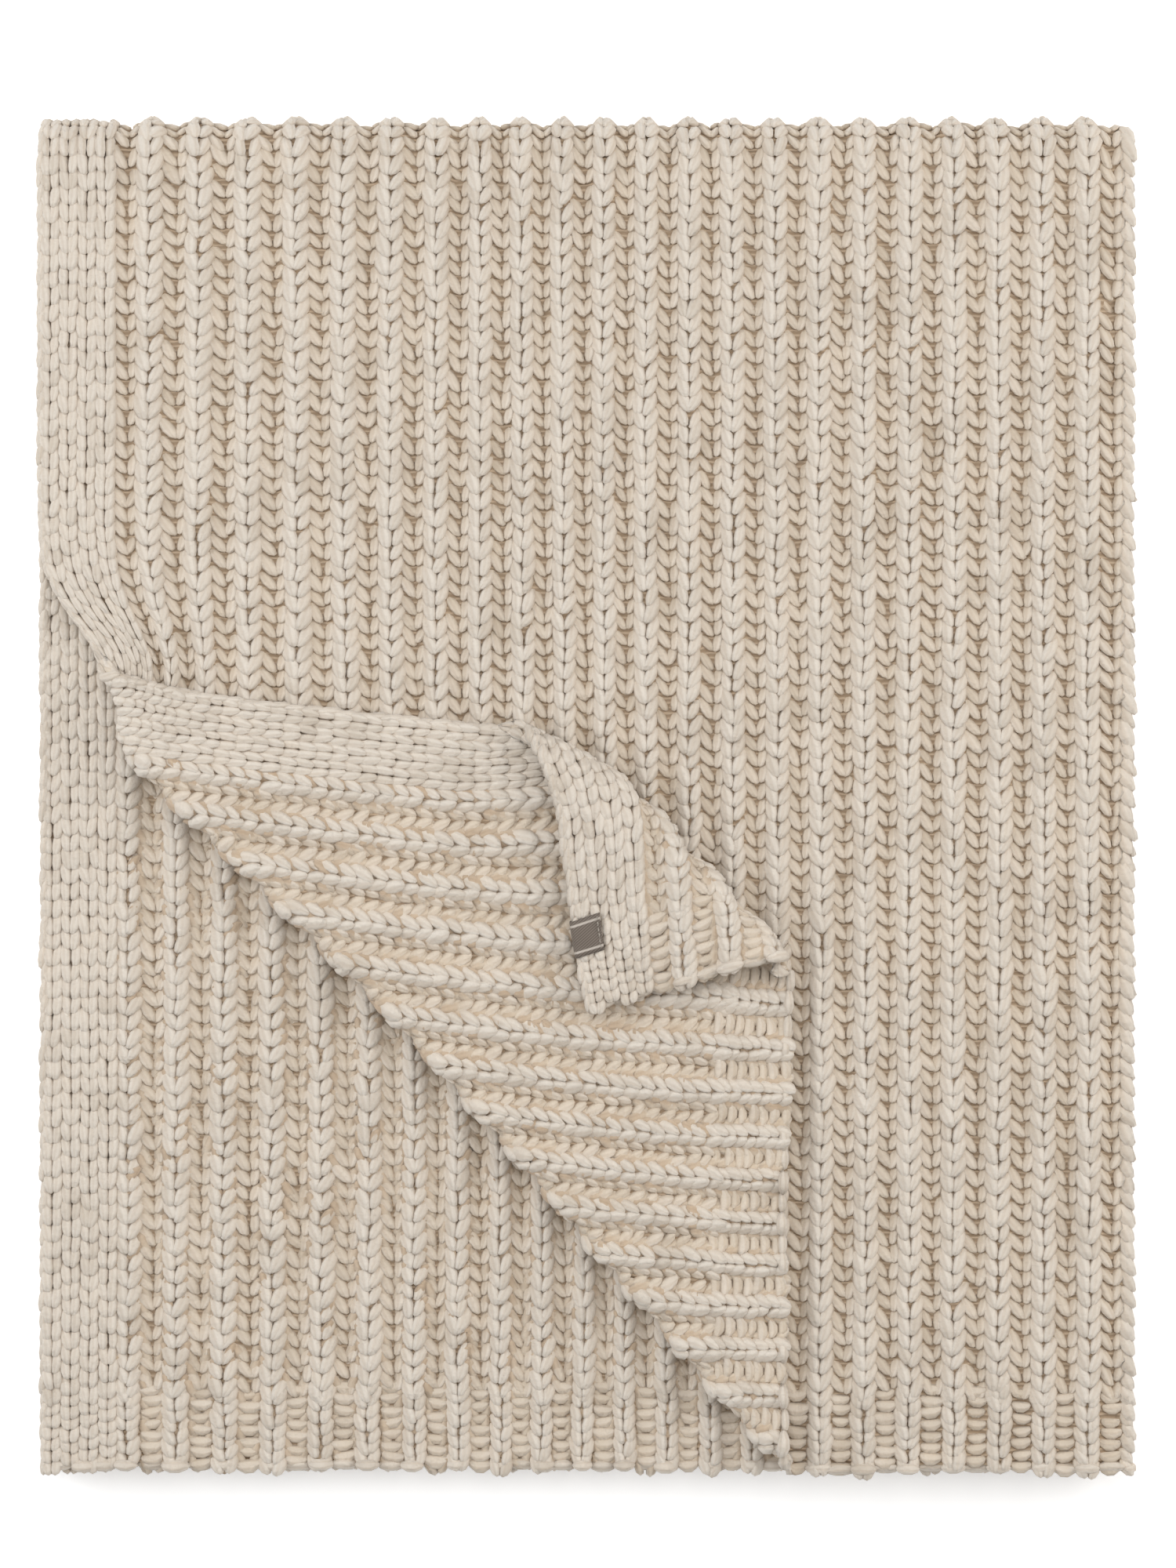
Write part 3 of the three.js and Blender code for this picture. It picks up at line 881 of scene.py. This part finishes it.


def backing(name, across_range, along_range, row, body, nodes):
    """The loops' backs as one thin cloth under the stitches, parted at the joints as they are.

    Nodes names what each part stands for.
    """
    columns = round((across_range[1] - across_range[0]) / BACKING_COLUMN)
    rows = round((along_range[1] - along_range[0]) / row)
    bm = bmesh.new()
    bmesh.ops.create_grid(bm, x_segments=columns, y_segments=rows, size=0.5)
    widths = (np.ptp(across_range), np.ptp(along_range))
    middle = (np.mean(across_range), np.mean(along_range))
    bmesh.ops.scale(bm, verts=bm.verts, vec=(*widths, 1))
    bmesh.ops.translate(bm, verts=bm.verts, vec=(*middle, 0))
    centres = np.array([face.calc_center_median()[:2] for face in bm.faces])
    zone = backing_zone(centres[:, 0], centres[:, 1])
    for zone_name in np.unique(zone).tolist():
        part = bm.copy()
        part.faces.ensure_lookup_table()
        gone = [part.faces[i] for i in np.flatnonzero(zone != zone_name)]
        bmesh.ops.delete(part, geom=gone, context="FACES")
        full_name = f"{name}_{zone_name}" if zone_name else name
        mesh = bpy.data.meshes.new(full_name)
        part.to_mesh(mesh)
        part.free()
        flat = np.zeros(len(mesh.vertices) * 3, np.float32)
        mesh.vertices.foreach_get("co", flat)
        placed = drape(flat.reshape(-1, 3).astype(float)) * MM
        mesh.vertices.foreach_set("co", placed.astype(np.float32).ravel())
        where = BEND_BLENDS.get(zone_name, zone_name or body)
        # The bends' strips take the paler painted copy; the rest take the copy painted with the shade between
        # stitches.
        made = add_piece(full_name, mesh, where, material=FOLD_BACKING_PAINTED_LIT if zone_name in BEND_BLENDS else BACKS_PAINTED_SHADED)
        thicken(made, BACKING_THICK)
        on_it = [o for o, b in pieces.values() if b == where and o is not made and o.name not in claimed]
        claimed.update(o.name for o in on_it)
        claimed.add(made.name)
        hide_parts(*nodes.get(zone_name, ()))
    bm.free()


def zone_nodes(prefix):
    """The frame's names for a ply's three kinds of knit."""
    return [f"{prefix}_{zone}" for zone in ("panel", "selvedge", "hem")]


def lay_backings():
    """The whole cloth's back: four plies and the two halves of the top fold."""
    outer, inner = (BACKING_INSET, SIDE_START), (SIDE_START, CLOTH_WIDTH - BACKING_INSET)
    upper, lower = (BACKING_INSET, TOP_START), (LOWER_START, CLOTH_LENGTH - BACKING_INSET)
    fold = (TOP_START, LOWER_START)
    corner_nodes = {
        "": zone_nodes("upper_outer"),
        "corner_bend": ["corner_fold"],
        "corner": zone_nodes("corner"),
        "tip_bend": ["tip_fold"],
        "tip": zone_nodes("tip"),
    }
    backing("top_cloth", outer, upper, FINE_STEP, "upper", corner_nodes)
    backing("second_cloth", inner, upper, FLAT_STEP, "upper",
            {"": zone_nodes("upper_inner") + ["upper_side_fold"]})
    backing("third_cloth", inner, lower, FLAT_STEP, "lower",
            {"": zone_nodes("lower_inner") + ["lower_side_fold"]})
    backing("bottom_cloth", outer, lower, FLAT_STEP, "lower", {"": zone_nodes("lower_outer")})
    backing("top_fold_cloth", outer, fold, FOLD_STEP, OUTER_FOLD_BLEND,
            {"": ["top_fold_outer"]})
    backing("inner_fold_cloth", inner, fold, FOLD_STEP, INNER_FOLD_BLEND,
            {"": ["top_fold_inner"]})


# ---- The label ----
LABEL_AT = 46.0  # from the blanket's corner to the label's middle, along the selvedge
LABEL_WIDE = 23.0
LABEL_REACH = 17.0  # from the cloth's edge to the end of each leaf
LABEL_HEIGHT = 6.4  # of each leaf off the cloth's middle
LABEL_THICK = 0.8
LABEL_BULGE = 2.2  # how far the ribbon stands out past the cloth's edge
LABEL_TURN = math.pi * LABEL_HEIGHT * 0.7  # length of the ribbon round the cloth's edge, which it squashes
LABEL_RIPPLE = 0.35
THREAD = 0.9
STITCHES = 6
STITCH_SPREAD = 0.9  # of the label's width that the stitches take up
STITCH_HALF = 1.4
STITCH_INSET = 1.8  # from the leaf's end
STITCH_LIFT = 0.3  # off the ribbon's face


def woven_label_material():
    """Woven polyester ribbon: taupe twill with a slight lustre, and a paler line along both its edges."""
    made, tree = new_material("woven_polyester_ribbon")
    uv = node(tree, "ShaderNodeUVMap", {"uv_map": "ribbon_map"}).outputs["UV"]
    twill = node(tree, "ShaderNodeTexWave", {"bands_direction": "DIAGONAL"}, Vector=uv, Scale=TWILL_BANDS)
    base = ramp(tree, twill.outputs["Fac"], (0.0, "5f564d"), (1.0, "7b7067"))
    split = node(tree, "ShaderNodeSeparateXYZ", Vector=uv)
    line = ramp(tree, split.outputs["Y"], (0.0, "000000"), (0.10, "000000"), (0.12, "ffffff"),
                (0.16, "ffffff"), (0.18, "000000"))
    other = ramp(tree, split.outputs["Y"], (0.82, "000000"), (0.84, "ffffff"), (0.88, "ffffff"),
                 (0.9, "000000"))
    both = node(tree, "ShaderNodeMix", {"data_type": "RGBA", "blend_type": "ADD"})
    both.inputs["Factor"].default_value = 1.0
    tree.links.new(line, both.inputs[6])
    tree.links.new(other, both.inputs[7])
    marked = node(tree, "ShaderNodeMix", {"data_type": "RGBA"})
    tree.links.new(both.outputs[2], marked.inputs["Factor"])
    tree.links.new(base, marked.inputs[6])
    marked.inputs[7].default_value = linear("b9b0a6")
    bump = node(tree, "ShaderNodeBump", Strength=0.5, Distance=0.0003)
    tree.links.new(twill.outputs["Fac"], bump.inputs["Height"])
    finish_material(tree, marked.outputs[2], 0.6, bump.outputs["Normal"], 0.1)
    return made


def sewing_thread_material():
    """Spun polyester sewing thread: pale, smooth, with a tight twist."""
    made, tree = new_material("spun_polyester_thread")
    place = node(tree, "ShaderNodeTexCoord").outputs["Object"]
    twist = node(tree, "ShaderNodeTexWave", {"bands_direction": "DIAGONAL"}, Vector=place, Scale=TWIST_BANDS)
    colour = ramp(tree, twist.outputs["Fac"], (0.0, "8d857c"), (1.0, "aaa298"))
    bump = node(tree, "ShaderNodeBump", Strength=0.4, Distance=0.0002)
    tree.links.new(twist.outputs["Fac"], bump.inputs["Height"])
    finish_material(tree, colour, 0.7, bump.outputs["Normal"], 0.0)
    return made


def draped_mesh(name, bm):
    """A small bmesh drawn on the flat cloth, carried to where it lies."""
    mesh = bpy.data.meshes.new(name)
    bm.to_mesh(mesh)
    bm.free()
    flat = np.array([v.co for v in mesh.vertices], float)
    mesh.vertices.foreach_set("co", (drape(flat) * MM).astype(np.float32).ravel())
    return mesh


def label_section(share):
    """Where the ribbon runs, across and off the cloth, from one leaf's end to the other's."""
    run = share * (2 * LABEL_REACH + LABEL_TURN)
    if run < LABEL_REACH:
        return LABEL_REACH - run, LABEL_HEIGHT
    if run < LABEL_REACH + LABEL_TURN:
        angle = (run - LABEL_REACH) / LABEL_TURN * math.pi
        return -LABEL_BULGE * math.sin(angle), LABEL_HEIGHT * math.cos(angle)
    return run - LABEL_REACH - LABEL_TURN, -LABEL_HEIGHT


def make_label():
    """The ribbon folded over the selvedge, and the row of stitches that holds its upper leaf."""
    bm = bmesh.new()
    bm.loops.layers.uv.new("ribbon_map")
    bmesh.ops.create_grid(bm, x_segments=40, y_segments=8, size=0.5, calc_uvs=True)
    for vert in bm.verts:
        across, off = label_section(vert.co.x + 0.5)
        ripple = LABEL_RIPPLE * math.sin(vert.co.y * 7 + across / 4)
        vert.co = (across, LABEL_AT + vert.co.y * LABEL_WIDE, off + ripple)
    label = add_piece("label_ribbon", draped_mesh("label_ribbon", bm), "tip", woven_label_material())
    thicken(label, LABEL_THICK)
    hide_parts("woven_label")
    claimed.add(label.name)

    bm = bmesh.new()
    for i in range(STITCHES):
        along = LABEL_AT + LABEL_WIDE * ((i + 0.5) / STITCHES - 0.5) * STITCH_SPREAD
        made = bmesh.ops.create_uvsphere(bm, u_segments=8, v_segments=6, radius=1)
        bmesh.ops.scale(bm, verts=made["verts"], vec=(THREAD / 2, THREAD / 2, STITCH_HALF))
        bmesh.ops.rotate(bm, verts=made["verts"], matrix=Matrix.Rotation(math.pi / 2, 3, "X"))
        height = LABEL_HEIGHT + LABEL_THICK / 2 + STITCH_LIFT
        bmesh.ops.translate(bm, verts=made["verts"], vec=(LABEL_REACH - STITCH_INSET, along, height))
    mesh = draped_mesh("label_thread", bm)
    thread = add_piece("label_thread", mesh, "tip", sewing_thread_material())
    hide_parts("label_stitching")
    claimed.add(thread.name)


make_label()
lay_backings()

# ---- Floor, light and camera ----
VIEW_HEIGHT = 928.6  # how much of the scene's length the view takes in, at the blanket's top
VIEW_MIDDLE = 4.7  # behind the blanket's middle
LENS = 100.0
SENSOR = 36.0
FLOOR_HALF = 6.0  # metres
FLOOR_HEIGHT = -0.002  # metres
SOFTBOX = (1.6, 1.6)  # metres
OVERHEAD = (1.8, 1.8)  # metres
WORLD_STRENGTH = 0.48


def add_area_light(name, place, size, power, colour):
    """A softbox that faces the blanket."""
    light = bpy.data.lights.new(name, "AREA")
    light.shape = "RECTANGLE"
    light.size, light.size_y = size
    light.energy = power
    light.color = colour
    made = bpy.data.objects.new(name, light)
    made.location = place
    direction = -made.location.normalized()
    made.rotation_euler = direction.to_track_quat("-Z", "Y").to_euler()
    bpy.context.scene.collection.objects.link(made)


def add_floor():
    """Matt white paper, lit a little of its own so that it stays pale."""
    mesh = bpy.data.meshes.new("floor")
    bm = bmesh.new()
    bmesh.ops.create_grid(bm, x_segments=1, y_segments=1, size=FLOOR_HALF)
    bmesh.ops.translate(bm, verts=bm.verts, vec=(0, 0, FLOOR_HEIGHT))
    bm.to_mesh(mesh)
    bm.free()
    made, tree = new_material("white_paper")
    shader = node(tree, "ShaderNodeBsdfPrincipled", Roughness=0.9)
    shader.inputs["Base Color"].default_value = linear("fafafa")
    shader.inputs["Emission Color"].default_value = linear("ffffff")
    shader.inputs["Emission Strength"].default_value = 0.25
    output = node(tree, "ShaderNodeOutputMaterial")
    tree.links.new(shader.outputs["BSDF"], output.inputs["Surface"])
    mesh.materials.append(made)
    floor = bpy.data.objects.new("floor", mesh)
    bpy.context.scene.collection.objects.link(floor)


def add_camera():
    """Looks straight down on the blanket."""
    lens = bpy.data.cameras.new("camera")
    lens.lens = LENS
    lens.sensor_width = SENSOR
    camera = bpy.data.objects.new("camera", lens)
    height = VIEW_HEIGHT * LENS / SENSOR + PLY_HEIGHT + PLY_PITCH / 2
    camera.location = (0, VIEW_MIDDLE * MM, height * MM)
    bpy.context.scene.collection.objects.link(camera)
    bpy.context.scene.camera = camera


def add_world(strength):
    """Even white light from all sides."""
    world = bpy.data.worlds.new("studio")
    world.use_nodes = True
    world.node_tree.nodes["Background"].inputs["Color"].default_value = (1, 1, 1, 1)
    world.node_tree.nodes["Background"].inputs["Strength"].default_value = strength
    bpy.context.scene.world = world


add_floor()
add_camera()
add_world(WORLD_STRENGTH)
add_area_light("left_softbox", (-1.9, 0.5, 1.3), SOFTBOX, 24.5, (0.96, 0.98, 1.0))
add_area_light("right_softbox", (1.9, 0.4, 1.3), SOFTBOX, 22.5, (1.0, 0.97, 0.93))
add_area_light("overhead", (0, 0.6, 2.4), OVERHEAD, 21, (1, 1, 1))
bpy.context.scene.view_settings.view_transform = "Standard"
